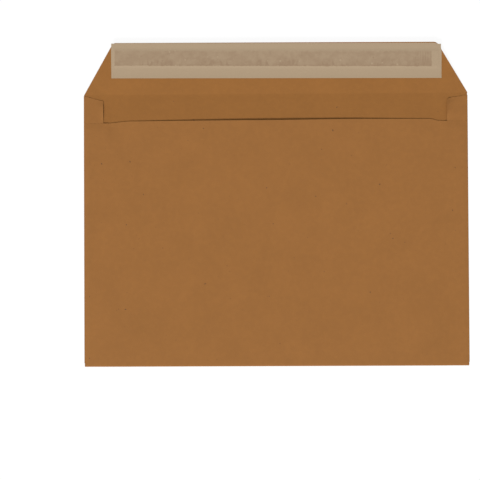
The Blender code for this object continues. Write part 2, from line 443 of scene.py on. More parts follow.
@dataclass(frozen=True)
class LinerFinish:
    """Tan release paper with the uneven adhesive showing through as a darker band."""

    band_x: Span
    band_y: Span
    band_slope: float
    paper: Colour = (0.399, 0.2935, 0.1875)
    over_glue: Colour = (0.300, 0.202, 0.122)
    variation: float = 0.05
    roughness: float = 0.42
    gloss: float = 0.35
    pulp_scale: float = 700.0
    haze: Blots = Blots(60.0, 0.3, 0.7, 0.0, 0.35, 2.0)
    wander_scale: float = 420.0
    edge_wander: float = 0.9 * MM
    edge_fade: float = 0.5 * MM
    top_fade: float = 2.6 * MM
    wide: Blots = Blots(70.0, 0.36, 0.66, 0.0, 0.24, 2.0, 0.5)
    blots: Blots = Blots(230.0, 0.34, 0.66, 0.37, 0.63, 3.0, 0.4)
    foot_reach: float = 7.0 * MM
    foot_share: float = 0.08
    strokes: Blots = Blots(360.0, 0.53, 0.62)
    stroke_groups: Blots = Blots(60.0, 0.42, 0.56)
    stroke_share: float = 0.75
    rim_patches: Blots = Blots(48.0, 0.40, 0.58, 0.25, 1.0, 1.0, 0.3)
    rim_share: float = 0.36
    comb_pitch: float = 2.1 * MM
    comb_reach: float = 14.0 * MM
    comb_fade: float = 4.0 * MM
    comb_share: float = 0.14
    speck_scale: float = 230.0
    dry_groups: Blots = Blots(38.0, 0.44, 0.56, twist=0.4)
    dry_share: float = -1.1
    blob_share: float = 0.50

    def spot(self, tree: Surface) -> tuple[Socket, Socket]:
        """X on the liner, and the distance up from the foot of the band, which runs askew.

        Args:
            tree: The material being filled.

        Returns:
            X and the distance.
        """
        x, y, _ = tree.parts(tree.place)
        level = tree.weighed(y, (tree.less(x, self.band_x[0]), self.band_slope))
        return x, tree.less(level, self.band_y[0])

    def band(self, tree: Surface) -> Socket:
        """Where the adhesive lies under the paper, from 0 to 1.

        Args:
            tree: The material being filled.

        Returns:
            1 well inside the band, and 0 outside it.
        """
        wander = tree.less(tree.noise(tree.place, self.wander_scale), 0.5)
        x, up = (tree.weighed(each, (wander, 2 * self.edge_wander)) for each in self.spot(tree))
        edges = (
            (tree.less(x, self.band_x[0]), self.edge_fade),
            (tree.less(self.band_x[1], x), self.edge_fade),
            (up, self.edge_fade),
            (tree.less(self.band_y[1] - self.band_y[0], up), self.top_fade),
        )
        return tree.product(*(tree.ramp(inside, -fade / 2, fade / 2) for inside, fade in edges))

    def mottle(self, tree: Surface) -> Socket:
        """How far the paper has taken up the adhesive: blotchy, dark at the foot, with dry specks.

        Args:
            tree: The material being filled.

        Returns:
            The share, about 0 to 1.
        """
        x, up = self.spot(tree)
        smear = tree.math("ADD", self.wide.share(tree), self.blots.share(tree))
        foot = tree.fall(up, 0.0, self.foot_reach)
        strokes = self.strokes.share(tree, tree.stretched(tree.place, 0.0, 0.35))
        strokes = tree.product(foot, strokes, self.stroke_groups.share(tree))
        rim = tree.product(self.rim_patches.share(tree), tree.fall(up, 0.3 * MM, 1.5 * MM))
        teeth = tree.math("SINE", tree.product(x, 2 * pi / self.comb_pitch))
        left = tree.less(self.band_x[1], x)
        near_end = tree.ramp(left, self.comb_reach, self.comb_reach - self.comb_fade)
        comb = tree.product(teeth, tree.product(near_end, tree.ramp(up, 3 * MM, 6 * MM)))
        distance, chance = tree.cells(tree.place, self.speck_scale)
        speck = tree.fall(distance, 0.10, 0.24)
        dry = tree.product(speck, tree.ramp(chance, 0.46, 0.60), self.dry_groups.share(tree))
        blob = tree.product(speck, tree.ramp(chance, 0.26, 0.12))
        shares = [(strokes, self.stroke_share), (foot, self.foot_share), (rim, self.rim_share)]
        shares += [(comb, self.comb_share), (dry, self.dry_share), (blob, self.blob_share)]
        return tree.weighed(smear, *shares)

    def build(self, name: str) -> Material:
        """Makes the material.

        Args:
            name: The material's name.

        Returns:
            The material.
        """
        tree = Surface(name)
        wet = tree.product(self.band(tree), self.mottle(tree))
        pulp = tree.noise(tree.place, self.pulp_scale, 3.0)
        dark, light = 1 - self.variation, 1 + self.variation
        paper = tree.shades(pulp, self.paper, dark, light)
        paper = tree.blend(self.haze.share(tree), paper, scaled(self.paper, 0.97))
        glued = tree.shades(pulp, self.over_glue, dark, light)
        rough = tree.weighed(self.roughness + 0.03, (wet, -0.05))
        tree.dress(tree.blend(wet, paper, glued), rough, self.gloss)
        tree.relief(tree.weighed(tree.product(pulp, 0.3), (wet, 0.6)), 0.3, 0.06 * MM)
        return tree.material


@dataclass(frozen=True)
class GumFinish:
    """Dried gum or tacky adhesive: pale, uneven and a little glossy."""

    colour: Colour
    roughness: float
    blot_scale: float = 420.0

    def build(self, name: str) -> Material:
        """Makes the material.

        Args:
            name: The material's name.

        Returns:
            The material.
        """
        tree = Surface(name)
        blots = tree.noise(tree.place, self.blot_scale, 3.0, 0.5)
        rough = tree.weighed(self.roughness - 0.1, (blots, 0.2))
        tree.dress(tree.shades(blots, self.colour, 0.82, 1.12), rough)
        tree.relief(blots, 0.4, 0.05 * MM)
        return tree.material


@dataclass(frozen=True)
class ShiveFinish:
    """Slivers of bark and wood pressed into the paper."""

    colour: Colour = (0.080, 0.034, 0.013)
    tone_scale: float = 140.0
    roughness: float = 0.8

    def build(self, name: str) -> Material:
        """Makes the material.

        Args:
            name: The material's name.

        Returns:
            The material.
        """
        tree = Surface(name)
        tone = tree.noise(tree.place, self.tone_scale, 1.0)
        tree.dress(tree.shades(tone, self.colour, 0.5, 1.5), self.roughness)
        return tree.material


@dataclass
class Patch:
    """A stretch of the sheet's middle surface, as rows of points, with what the relief needs."""

    flip: bool
    rows: list[list[tuple[Point, float, float]]] = field(default_factory=list)

    def add_row(self, points: list[Point], free: list[float] = (), seen: list[float] = ()) -> None:
        """Adds a row of points, with how free each is to cockle and how many slivers show there."""
        none = [0.0] * len(points)
        self.rows.append(list(zip(points, free or none, seen or none)))


@dataclass(frozen=True)
class FlapSide:
    """A slanted side of the seal flap.

    Its cut starts at `reach` beyond the body's flat part, at the crease, and would meet the far edge at
    `edge_half` from the middle, where a corner of `radius` rounds it.
    """

    reach: float
    edge_half: float
    radius: float


@dataclass
class FlapForm:
    """The seal flap's form: a crease, then a slight curl back down towards its far edge."""

    crease_y: float
    paper: float
    half_base: float
    fold_reach: float
    depth: float = 44.2 * MM
    edge_width: float = 273.0 * MM
    trim: float = 0.9 * MM
    left: FlapSide = FlapSide(0.3 * MM, 136.5 * MM, 4.0 * MM)
    right: FlapSide = FlapSide(0.75 * MM, 136.1 * MM, 5.2 * MM)
    crease: float = 1.2 * MM
    rise: float = radians(5.6)
    curl: float = radians(0.3)
    wave: float = 0.05 * MM
    wave_length: float = 0.19
    wave_start: float = 0.7

    def profile(self, depth: float) -> tuple[float, float, float]:
        """Y from the crease, Z of the paper's middle and the slope, at a depth along the paper.

        Args:
            depth: Distance along the paper from the crease.

        Returns:
            The three values.
        """
        radius = self.crease / self.rise
        bend = min(depth, self.crease) / radius
        y = radius * sin(bend)
        z = self.paper / 2 + radius * (1 - cos(bend))
        if depth <= self.crease:
            return y, z, bend
        curl_radius = (self.depth - self.crease) / self.curl
        slope = self.rise - (depth - self.crease) / curl_radius
        y += curl_radius * (sin(self.rise) - sin(slope))
        z += curl_radius * (cos(slope) - cos(self.rise))
        return y, z, slope

    def point(self, x: float, depth: float, height: float) -> Point:
        """A point of the flap, at a height above the paper's middle.

        Args:
            x: Across the flap.
            depth: Distance along the paper from the crease.
            height: Above the paper's middle.

        Returns:
            The point.
        """
        y, z, slope = self.profile(depth)
        reach = ease(depth, self.depth)
        z += self.wave * reach * sin(2 * pi * x / self.wave_length + self.wave_start)
        return x, self.crease_y + y - height * sin(slope), z + height * cos(slope)

    def half_width(self, depth: float, side: FlapSide) -> float:
        """The flap's width to one side of its middle.

        Args:
            depth: Distance along the paper from the crease.
            side: The left or the right side.

        Returns:
            The width from the middle, no wider than the body, with the corner rounded.
        """
        slant = atan2(self.half_base + side.reach - side.edge_half, self.depth)
        corner_depth = self.depth - side.radius
        if depth > corner_depth + side.radius * sin(slant):
            centre = side.edge_half - side.radius * tan((pi / 2 - slant) / 2)
            return centre + sqrt(max(side.radius**2 - (depth - corner_depth) ** 2, 0.0))
        widest = self.half_base + self.fold_reach * ease(depth, self.crease)
        return min(self.half_base + side.reach - depth * tan(slant), widest)

    def rows(self) -> list[float]:
        """Depths at which the flap is drawn.

        Returns:
            The depths, from the crease to the far edge.
        """
        arc_start = self.depth - self.left.radius
        rows = spread(0.0, 3 * self.crease, 12) + spread(3 * self.crease, arc_start, 30)[1:]
        return rows + [self.depth - place for place in reversed(arc_places(self.left.radius, 12))][1:]

    def trimmed(self, x: float, depth: float) -> float:
        """A depth on the flap whose far edge, cut a little askew, nears the crease towards the right."""
        share = min(max(x / self.edge_width + 0.5, 0.0), 1.0)
        return depth * (1 - share * self.trim / self.depth)

    def lay(self, mesh: Mesh) -> None:
        """Lays a flat mesh on the flap: its X across, its Y as depth and its Z as height above the face.

        Args:
            mesh: The mesh, which is changed.
        """
        for vertex in mesh.vertices:
            x, depth, height = vertex.co
            vertex.co = self.point(x, depth, height + self.paper / 2)
        mesh.update()


@dataclass(frozen=True)
class MouthEnd:
    """How the mouth edge drops near one side seam."""

    start: float
    length: float
    drop: float
    tail: float


@dataclass(frozen=True)
class SideFlapForm:
    """A side flap: its width, how its head is cut and how its inner edge springs up in the throat."""

    width: float
    head_drop: float
    head_slant: float
    corner: float
    lift: float
    head_press: float = 0.2 * MM
    head_fade: float = 5.0 * MM
    lift_reach: float = 10.0 * MM
    lift_power: float = 5.0
    head_hold: float = 0.8
    foot_rise: float = 3.0 * MM
    foot_slant: float = 4.0 * MM


@dataclass
class FoldedSheet:
    """The die-cut sheet, folded: front panel, side flaps, back panel and seal flap."""

    low: Vector
    high: Vector
    kraft: list[Material]
    height: float = 229.0 * MM
    paper: float = 0.14 * MM
    side_gap: float = 0.30 * MM
    back_z: float = 0.91 * MM
    back_inset: float = 0.6 * MM
    back_corner: float = 1.2 * MM
    left_flap: SideFlapForm = SideFlapForm(16.6 * MM, 0.4 * MM, 4.4 * MM, 0.8 * MM, 1.0 * MM)
    right_flap: SideFlapForm = SideFlapForm(17.3 * MM, 1.5 * MM, 2.4 * MM, 2.6 * MM, 1.7 * MM)
    throat: float = 21.0 * MM
    crown: float = 0.5 * MM
    left_sag: float = 0.6 * MM
    sag_end: float = 75.0 * MM
    hang: float = 0.46 * MM
    hang_margin: float = 0.2 * MM
    hang_reach: float = 3.5 * MM
    hang_spread: float = 0.7
    bow: float = 0.87 * MM
    foot_rise: float = 1.2 * MM
    foot_reach: float = 38.0 * MM
    foot_end: float = 30.0 * MM
    foot_calm: float = 6.0 * MM
    tuck: float = 0.24 * MM
    tuck_x: float = 159.2 * MM
    tuck_length: float = 1.6 * MM
    seam_length: float = 2.0 * MM
    seam_reach: float = 5.0 * MM
    ledge: float = 0.13 * MM
    ledge_start: float = 0.04 * MM
    ledge_length: float = 0.16 * MM
    mouth_margin: float = 1.0 * MM
    cockle: float = 0.12 * MM
    cockle_scale: float = 19.0
    throat_cockle: float = 0.35
    throat_reach: float = 1.6
    side_calm: float = 12.0 * MM
    crease_calm: float = 6.0 * MM
    mouth_calm: float = 8.0 * MM
    seam_calm: float = 25.0 * MM
    rise_calm: float = 18.0 * MM
    sliver_margin: float = 2.5 * MM
    sliver_span: Span = (0.02, 0.98)
    flap_bare: Span = (2.0 * MM, 11.0 * MM)
    flap_margin: float = 2.0 * MM
    flap_share: float = 0.12
    even_half: float = 122.0 * MM
    fine_half: float = 145.0 * MM
    corner_room: float = 1.6 * MM
    foot_rows: float = 0.12
    mouth_rows: float = 0.95
    left_mouth: MouthEnd = MouthEnd(124.0 * MM, 17.0 * MM, 1.0 * MM, 0.4 * MM)
    right_mouth: MouthEnd = MouthEnd(130.5 * MM, 6.5 * MM, 1.2 * MM, 0.5 * MM)
    flap: FlapForm = field(init=False)

    def __post_init__(self) -> None:
        """Works out the places that follow from the frame's box and the sizes above."""
        self.half = (self.high.x - self.low.x) / 2
        self.bottom_y = self.low.y
        self.crease_y = self.bottom_y + self.height
        self.side_radius = (self.side_gap + self.paper) / 2
        self.bottom_radius = (self.back_z - self.paper / 2) / 2
        self.flat_half = self.half - self.side_radius - self.paper / 2
        self.back_half = self.half - self.back_inset
        self.flat_bottom = self.bottom_y + self.bottom_radius + self.paper / 2
        self.flap_inner = self.half - max(self.left_flap.width, self.right_flap.width)
        self.flap = FlapForm(self.crease_y, self.paper, self.flat_half, self.side_radius + self.paper / 2)
        edges = [self.mouth_y(side * (self.back_half - self.back_corner)) for side in (-1, 1)]
        self.mouth_low = min(edges) - self.mouth_margin
        self.mouth_high = max(edges) + self.mouth_margin

    def columns(self) -> list[float]:
        """X of the columns that the panels and the seal flap share.

        Returns:
            The places, from left to right.
        """
        half = spread(0.0, self.even_half, 42) + spread(self.even_half, self.fine_half, 26)[1:]
        half += spread(self.fine_half, self.back_half - self.corner_room, 9)[1:]
        half += [self.back_half - place for place in reversed(arc_places(self.back_corner, 5))]
        half.append(self.flat_half)
        return [-x for x in reversed(half[1:])] + half

    def front_panel(self) -> Patch:
        """The address side, flat on the table, whose inside shows at the throat.

        Returns:
            The panel, from its foot to the crease.
        """
        patch = Patch(flip=True)
        columns = self.columns()
        for y in [self.flat_bottom] + self.fold_rows() + [self.crease_y]:
            free = [self.throat_free(x, y) for x in columns]
            patch.add_row([(x, y, self.paper / 2) for x in columns], free, free)
        return patch

    def fold_rows(self) -> list[float]:
        """Y of the rows that the front panel and the side folds share, up to the higher head.

        Returns:
            The places, from the foot up.
        """
        heads = sorted(self.side_flap_ends(form, 0.0)[1] for form in (self.left_flap, self.right_flap))
        foot = self.side_flap_ends(self.left_flap, 0.0)[0]
        rows = spread(foot, self.mouth_low, 26) + spread(self.mouth_low, self.mouth_high, 29)[1:]
        return rows + spread(self.mouth_high, heads[0], 14)[1:] + spread(heads[0], heads[1], 3)[1:]

    def throat_free(self, x: float, y: float) -> float:
        """How free the front panel is to cockle: only in the throat, away from its folds.

        Args:
            x: Across the panel.
            y: Along it.

        Returns:
            0 where it can't, up to 1.
        """
        inside = ease(self.flap_inner - abs(x), self.side_calm)
        below = ease(self.crease_y - y, self.crease_calm)
        above = ease(y - (self.crease_y - self.throat_reach * self.throat), self.mouth_calm)
        return self.throat_cockle * inside * below * above

    def side_flap_ends(self, form: SideFlapForm, inward: float) -> tuple[float, float]:
        """Y of a side flap's foot and head, at a distance inward from its fold.

        Args:
            form: The flap's form.
            inward: Distance from its fold.

        Returns:
            Y of the foot and of the head.
        """
        width = form.width - (self.half - self.flat_half)
        share = inward / width
        cut = corner_cut(width - inward, form.corner)
        foot = self.bottom_y + form.foot_rise + form.foot_slant * share + cut
        head = self.crease_y - form.head_drop - form.head_slant * share - cut
        return foot, head

    def side_flap(self, side: int) -> Patch:
        """A side flap with its fold.

        Args:
            side: -1 for the left and 1 for the right.

        Returns:
            The flap, from the front panel inwards.
        """
        patch = Patch(flip=side > 0)
        form = self.left_flap if side < 0 else self.right_flap
        width = form.width - (self.half - self.flat_half)
        places = spread(0.0, width - form.corner, 9)
        places += [width - place for place in reversed(arc_places(form.corner, 7))][1:]
        mouth = self.mouth_y(side * self.flap_inner)
        fold_foot, fold_head = self.side_flap_ends(form, 0.0)
        for row in [y for y in self.fold_rows() if y <= fold_head]:
            points = []
            pressed = form.head_press * ease(row - mouth, fold_head - mouth)
            radius = self.side_radius - pressed / 2
            for angle in spread(0.0, pi, 8):
                x = self.flat_half + self.side_radius * sin(angle)
                z = self.paper / 2 + radius * (1 - cos(angle))
                points.append((side * x, row, z))
            for inward in places[1:]:
                foot, head = self.side_flap_ends(form, inward)
                edge = self.mouth_y(side * min(self.flat_half - inward, self.back_half - self.back_corner))
                y = row
                if row < self.mouth_low:
                    y += (foot - fold_foot) * (self.mouth_low - row) / (self.mouth_low - fold_foot)
                if row > self.mouth_high:
                    y += (head - fold_head) * (row - self.mouth_high) / (fold_head - self.mouth_high)
                open_part = ease(y - mouth, form.lift_reach)
                open_part *= 1 - form.head_hold * ease((y - head) / form.head_fade + 1)
                z = self.paper / 2 + 2 * radius + form.lift * open_part * (inward / width) ** form.lift_power
                fade = 1 - ease(y - edge, head - edge)
                z += self.ledge * ease(y - edge - self.ledge_start, self.ledge_length) * fade
                points.append((side * (self.flat_half - inward), y, z))
            patch.add_row(points)
        return patch

    def mouth_y(self, x: float) -> float:
        """Y of the back panel's mouth edge.

        Args:
            x: Across the panel.

        Returns:
            The edge's Y.
        """
        end = self.left_mouth if x < 0 else self.right_mouth
        drop = end.drop * ease(abs(x) - end.start, end.length)
        drop += end.tail * ease(abs(x) - end.start, self.flap_inner - end.start)
        drop += self.crown * (x / self.flap_inner) ** 2
        drop += self.left_sag * (1 - ease(x, self.sag_end))
        cut = corner_cut(self.back_half - abs(x), self.back_corner)
        return self.crease_y - self.throat - drop - cut

    def back_height(self, x: float, y: float) -> float:
        """Z of the back panel's paper: pressed down on the seams, bowed towards the mouth.

        Args:
            x: Across the panel.
            y: Along it.

        Returns:
            Z of the paper's middle.
        """
        across = ease(1 - abs(x) / self.flap_inner)
        top = self.crease_y - self.throat
        reach = self.hang_reach + self.hang_spread * max(0.0, top - self.seam_length - y)
        clear = ease(self.flap_inner - self.hang_margin - abs(x), reach)
        along = ease(y - self.flat_bottom, top - self.flat_bottom)
        bow = (self.bow * across - self.hang * clear) * along
        swell = self.foot_rise * exp(-(((y - self.flat_bottom) / self.foot_reach) ** 2) / 2)
        swell *= ease(self.back_half - abs(x), self.foot_end)
        at_side = ease(abs(x) - self.tuck_x, self.tuck_length)
        over_flap = ease(abs(x) - self.flap_inner + self.seam_length, self.seam_length)
        at_mouth = over_flap * ease((y - self.mouth_y(x)) / self.seam_reach + 1)
        away = ease(y - self.flat_bottom, self.foot_calm)
        return self.back_z + bow + swell - self.tuck * away * max(at_side, at_mouth)

    def back_panel(self) -> Patch:
        """The bottom fold and the back panel, up to the mouth.

        Returns:
            The panel, from the front panel's foot.
        """
        patch = Patch(flip=False)
        columns = [x for x in self.columns() if abs(x) <= self.back_half + SAME_POINT]
        tops = [self.back_height(x, self.flat_bottom) for x in columns]
        for angle in spread(0.0, pi, 12):
            y = self.flat_bottom - self.bottom_radius * sin(angle)
            turned = (1 - cos(angle)) / 2
            heights = [self.paper / 2 + (top - self.paper / 2) * turned for top in tops]
            patch.add_row([(x, y, z) for x, z in zip(columns, heights)])
        shares = spread(0.0, self.foot_rows, 16)[1:] + spread(self.foot_rows, self.mouth_rows, 46)[1:]
        shares += spread(self.mouth_rows, 1.0, 8)[1:]
        for share in shares:
            points, free, seen = [], [], []
            for x in columns:
                y = self.flat_bottom + (self.mouth_y(x) - self.flat_bottom) * share
                points.append((x, y, self.back_height(x, y)))
                inside = ease(self.flap_inner - abs(x), self.seam_calm)
                free.append(inside * ease(y - self.flat_bottom, self.rise_calm))
                bare = self.sliver_span[0] < share < self.sliver_span[1]
                seen.append(float(bare and abs(x) < self.back_half - self.sliver_margin))
            patch.add_row(points, free, seen)
        return patch

    def seal_flap(self) -> Patch:
        """The open seal flap, from the crease to its far edge.

        Returns:
            The flap.
        """
        patch = Patch(flip=True)
        columns = self.columns()
        for depth in self.flap.rows():
            points, seen = [], []
            for x in columns:
                half = self.flap.half_width(depth, self.flap.left if x < 0 else self.flap.right)
                at = x * half / self.flat_half
                points.append(self.flap.point(at, self.flap.trimmed(at, depth), 0.0))
                bare = self.flap_bare[0] < depth < self.flap_bare[1] and abs(at) < half - self.flap_margin
                seen.append(self.flap_share if bare else 0.0)
            patch.add_row(points, seen=seen)
        return patch

    def surface(self) -> Mesh:
        """Joins the patches into the sheet's middle surface, with each point's freedom to cockle.

        Returns:
            The surface.
        """
        seen: dict[tuple[int, int, int], int] = {}
        points: list[Point] = []
        values: dict[str, list[float]] = {"free": [], "open": []}
        faces: list[tuple[int, int, int, int]] = []
        patches = [self.front_panel(), self.side_flap(-1), self.side_flap(1)]
        patches += [self.back_panel(), self.seal_flap()]
        for patch in patches:
            grid = []
            for row in patch.rows:
                line = []
                for point, free, bare in row:
                    key = tuple(round(part / SAME_POINT) for part in point)
                    if key not in seen:
                        seen[key] = len(points)
                        points.append(point)
                        values["free"].append(free)
                        values["open"].append(bare)
                    line.append(seen[key])
                grid.append(line)
            for low, high in zip(grid, grid[1:]):
                for left in range(len(low) - 1):
                    face = (low[left], low[left + 1], high[left + 1], high[left])
                    faces.append(face[::-1] if patch.flip else face)
        mesh = bpy.data.meshes.new("kraft_sheet")
        mesh.from_pydata(points, [], faces)
        for name, numbers in values.items():
            mesh.attributes.new(name, "FLOAT", "POINT").data.foreach_set("value", numbers)
        mesh.shade_smooth()
        return mesh

    def relief_tree(self) -> NodeTree:
        """Geometry Nodes that cockle the paper where it is free, both of its faces alike.

        Returns:
            The tree.
        """
        tree = GeometryTree("Paper cockle", Float="Cockle Height, Cockle Scale, Seed")
        x, y, _ = tree.parts(tree.add("GeometryNodeInputPosition").outputs[0])
        noise = tree.noise(tree.vector(x, y, tree.given["Seed"]), tree.given["Cockle Scale"], 1.5)
        height = tree.product(noise, tree.attribute("free"), tree.given["Cockle Height"])
        inputs = {"Geometry": tree.given[0], "Offset": tree.vector(0.0, 0.0, height)}
        moved = tree.add("GeometryNodeSetPosition", inputs).outputs[0]
        index = tree.add("GeometryNodeInputMaterialIndex").outputs[0]
        looks = []
        for side in PaperSide:
            inputs = {2: index, 3: side.value}
            chosen = tree.add("FunctionNodeCompare", inputs, data_type="INT", operation="EQUAL")
            looks.append({"Selection": chosen.outputs[0], "Material": self.kraft[side.value]})
        return tree.finish(moved, looks)

    def build(self) -> Object:
        """Makes the sheet with its thickness, its three surfaces and its cockle.

        Returns:
            The sheet.
        """
        raw = new_object("kraft_sheet_surface", self.surface())
        for material in self.kraft:
            raw.data.materials.append(material)
        wall = add_thickness(raw, self.paper, 0.0)
        wall.use_even_offset = True
        wall.material_offset = PaperSide.INNER.value
        wall.material_offset_rim = PaperSide.CUT.value
        inputs = {"Cockle Height": 2 * self.cockle, "Cockle Scale": self.cockle_scale, "Seed": 4.0}
        add_nodes(raw, self.relief_tree(), inputs)
        return as_plain_mesh(raw, "kraft_sheet")


def add_thickness(item: Object, thickness: float, offset: float) -> bpy.types.Modifier:
    """Adds a modifier that makes a surface a sheet.

    Args:
        item: The surface.
        thickness: The sheet's.
        offset: 0 for both sides, 1 for its face.

    Returns:
        The modifier.
    """
    wall = item.modifiers.new("Thickness", "SOLIDIFY")
    wall.thickness = thickness
    wall.offset = offset
    return wall


def add_nodes(item: Object, group: NodeTree, inputs: dict[str, object]) -> None:
    """Adds a Geometry Nodes modifier and sets its named inputs.

    Args:
        item: The object.
        group: The tree.
        inputs: A value for each input, by its name.
    """
    modifier = item.modifiers.new(group.name, "NODES")
    modifier.node_group = group
    for socket in group.interface.items_tree:
        if socket.in_out == "INPUT" and socket.name in inputs:
            modifier[socket.identifier] = inputs[socket.name]


def as_plain_mesh(raw: Object, name: str) -> Object:
    """Replaces an object and its modifiers by a plain mesh object of the evaluated shape.

    Args:
        raw: The object, which is removed.
        name: The new object's name.

    Returns:
        The plain object.
    """
    view = bpy.context.evaluated_depsgraph_get()
    mesh = bpy.data.meshes.new_from_object(raw.evaluated_get(view), depsgraph=view)
    mesh.name = name
    mesh.set_sharp_from_angle(angle=SHARP_ANGLE)
    raw.modifiers.clear()
    bpy.data.objects.remove(raw, do_unlink=True)
    return new_object(name, mesh)


@dataclass(frozen=True)
class StripForm:
    """A strip on the seal flap: how far it stays from the far edge, its size and its ripple."""

    setback: float
    width: float
    slope: float
    thickness: float
    ripple: float
    ripple_scale: float
    seed: float


@dataclass
class SealStrip:
    """The adhesive band on the seal flap and the release liner over it."""

    flap: FlapForm
    adhesive: Material
    band_x: Span
    liner_x: Span
    band: StripForm = StripForm(6.5 * MM, 12.6 * MM, 0.0080, 0.09 * MM, 0.03 * MM, 420.0, 3.0)
    liner: StripForm = StripForm(0.15 * MM, 29.5 * MM, 0.0056, 0.07 * MM, 0.05 * MM, 330.0, 8.0)
    gap: float = 0.02 * MM
    ragged: float = 2.0 * MM
    swell_margin: float = 2.2 * MM
    swell_end: float = 3.0 * MM
    swell_ramp: float = 2.4 * MM
    end_ramp: float = 0.4 * MM
    lip_curl: float = 0.28 * MM
    lip_reach: float = 12.0 * MM
    lip_scale: float = 14.0
    left_droop: float = 0.3 * MM
    right_droop: float = 0.95 * MM
    droop_start: float = 1.5 * MM
    droop_reach: float = 6.5 * MM
    droop_inward: float = 0.6
    droop_slant: float = 0.8
    ragged_from: float = 0.8
    end_inset: float = 0.3 * MM
    step: float = 0.7 * MM

    def band_depths(self) -> Span:
        """Depths on the flap of the band's near and far edge."""
        far = self.flap.depth - self.band.setback
        return far - self.band.width, far

    def liner_material(self) -> Material:
        """The liner's finish, which shows the adhesive where it lies."""
        near, far = (self.flap.point(0.0, depth, 0.0)[1] for depth in self.band_depths())
        return LinerFinish(self.band_x, (near, far), self.band.slope).build("Release liner")

    def strip_tree(self) -> NodeTree:
        """Geometry Nodes that make a strip: a grid with a swell over the band, ripples and a curled lip.

        Returns:
            The tree.
        """
        numbers = "Length, Width, Middle X, Middle Y, Slope, Base Height, Swell, Swell Low, Swell High, "
        numbers += "Swell Reach, Swell Slope, Ripple, Ripple Scale, Lip Curl, Ragged, Seed, Left Droop, "
        tree = GeometryTree("Strip", Float=numbers + "Right Droop", Int="Columns, Rows", Material="Material")
        given = tree.given
        sides = (("Size X", "Length"), ("Size Y", "Width"), ("Vertices X", "Columns"), ("Vertices Y", "Rows"))
        grid = tree.add("GeometryNodeMeshGrid", {side: given[name] for side, name in sides}).outputs[0]
        along, up, _ = tree.parts(tree.add("GeometryNodeInputPosition").outputs[0])
        x = tree.math("ADD", along, given["Middle X"])
        y = tree.math("ADD", up, given["Middle Y"])
        spot = tree.vector(x, y, given["Seed"])
        ripple = tree.noise(spot, given["Ripple Scale"])
        half_length, half_width = (tree.product(given[name], 0.5) for name in ("Length", "Width"))
        across = tree.math("ADD", along, half_length)

        level = tree.weighed(y, (across, given["Swell Slope"]))
        above = tree.ramp(tree.less(level, given["Swell Low"]), 0.0, self.swell_ramp)
        under = tree.ramp(tree.less(given["Swell High"], level), 0.0, self.swell_ramp)
        ends = tree.less(given["Swell Reach"], tree.math("ABSOLUTE", along))
        inside = tree.product(above, under, tree.ramp(ends, -self.end_ramp, self.end_ramp))
        rough = tree.product(ripple, given["Ripple"], inside)
        lip = tree.math("POWER", tree.ramp(tree.less(given["Swell Low"], y), 0.0, self.lip_reach), 2.0)
        lip = tree.product(lip, given["Lip Curl"], tree.noise(spot, self.lip_scale))
        height = tree.weighed(given["Base Height"], (inside, given["Swell"]))
        height = tree.math("ADD", tree.math("ADD", height, rough), lip)

        edge = tree.math("DIVIDE", tree.math("ABSOLUTE", up), half_width)
        shift = tree.product(tree.less(ripple, 0.5), given["Ragged"], tree.ramp(edge, self.ragged_from, 1.0))
        depth = tree.less(tree.math("ADD", y, shift), tree.product(across, given["Slope"]))
        far = tree.less(half_width, up)
        short = tree.less(half_length, along)
        inward = self.droop_inward
        for end, name, turn in ((across, "Left Droop", inward), (short, "Right Droop", -inward)):
            near = tree.weighed(end, (far, self.droop_slant))
            fall = tree.product(tree.fall(near, self.droop_start, self.droop_reach), given[name])
            x = tree.weighed(x, (fall, turn))
            depth = tree.less(depth, fall)
        inputs = {"Geometry": grid, "Position": tree.vector(x, depth, height)}
        moved = tree.add("GeometryNodeSetPosition", inputs).outputs[0]
        smooth = tree.add("GeometryNodeSetShadeSmooth", {"Geometry": moved}).outputs[0]
        return tree.finish(smooth, [{"Material": given["Material"]}])

    def strip(self, name: str, form: StripForm, ends: Span, inputs: dict[str, object]) -> Object:
        """Makes one strip by the tree, gives it its thickness and lays it on the flap.

        Args:
            name: The piece's name.
            form: The strip's form.
            ends: X of its two ends.
            inputs: The tree's named inputs that don't follow from these. One that is left out is 0.

        Returns:
            The piece.
        """
        length = ends[1] - ends[0]
        shape = {"Length": length, "Width": form.width, "Slope": form.slope, "Seed": form.seed}
        shape |= {"Columns": int(length / self.step) + 1, "Rows": int(form.width / self.step) + 1}
        shape |= {"Ripple": form.ripple, "Ripple Scale": form.ripple_scale}
        shape["Middle X"] = (ends[1] + ends[0]) / 2
        shape["Middle Y"] = self.flap.depth - form.setback - form.width / 2
        raw = new_object(name + "_flat", bpy.data.meshes.new(name + "_flat"))
        add_nodes(raw, self.strip_tree(), shape | inputs)
        add_thickness(raw, form.thickness, 1.0)
        piece = as_plain_mesh(raw, name)
        self.flap.lay(piece.data)
        return piece

    def build_adhesive(self) -> Object:
        """The band of adhesive, ragged at its edges and uneven in height."""
        inputs = {"Base Height": self.gap, "Ragged": self.ragged, "Material": self.adhesive}
        inputs |= {"Swell High": self.flap.depth, "Swell Reach": self.flap.half_base}
        return self.strip("adhesive_film", self.band, self.band_x, inputs)

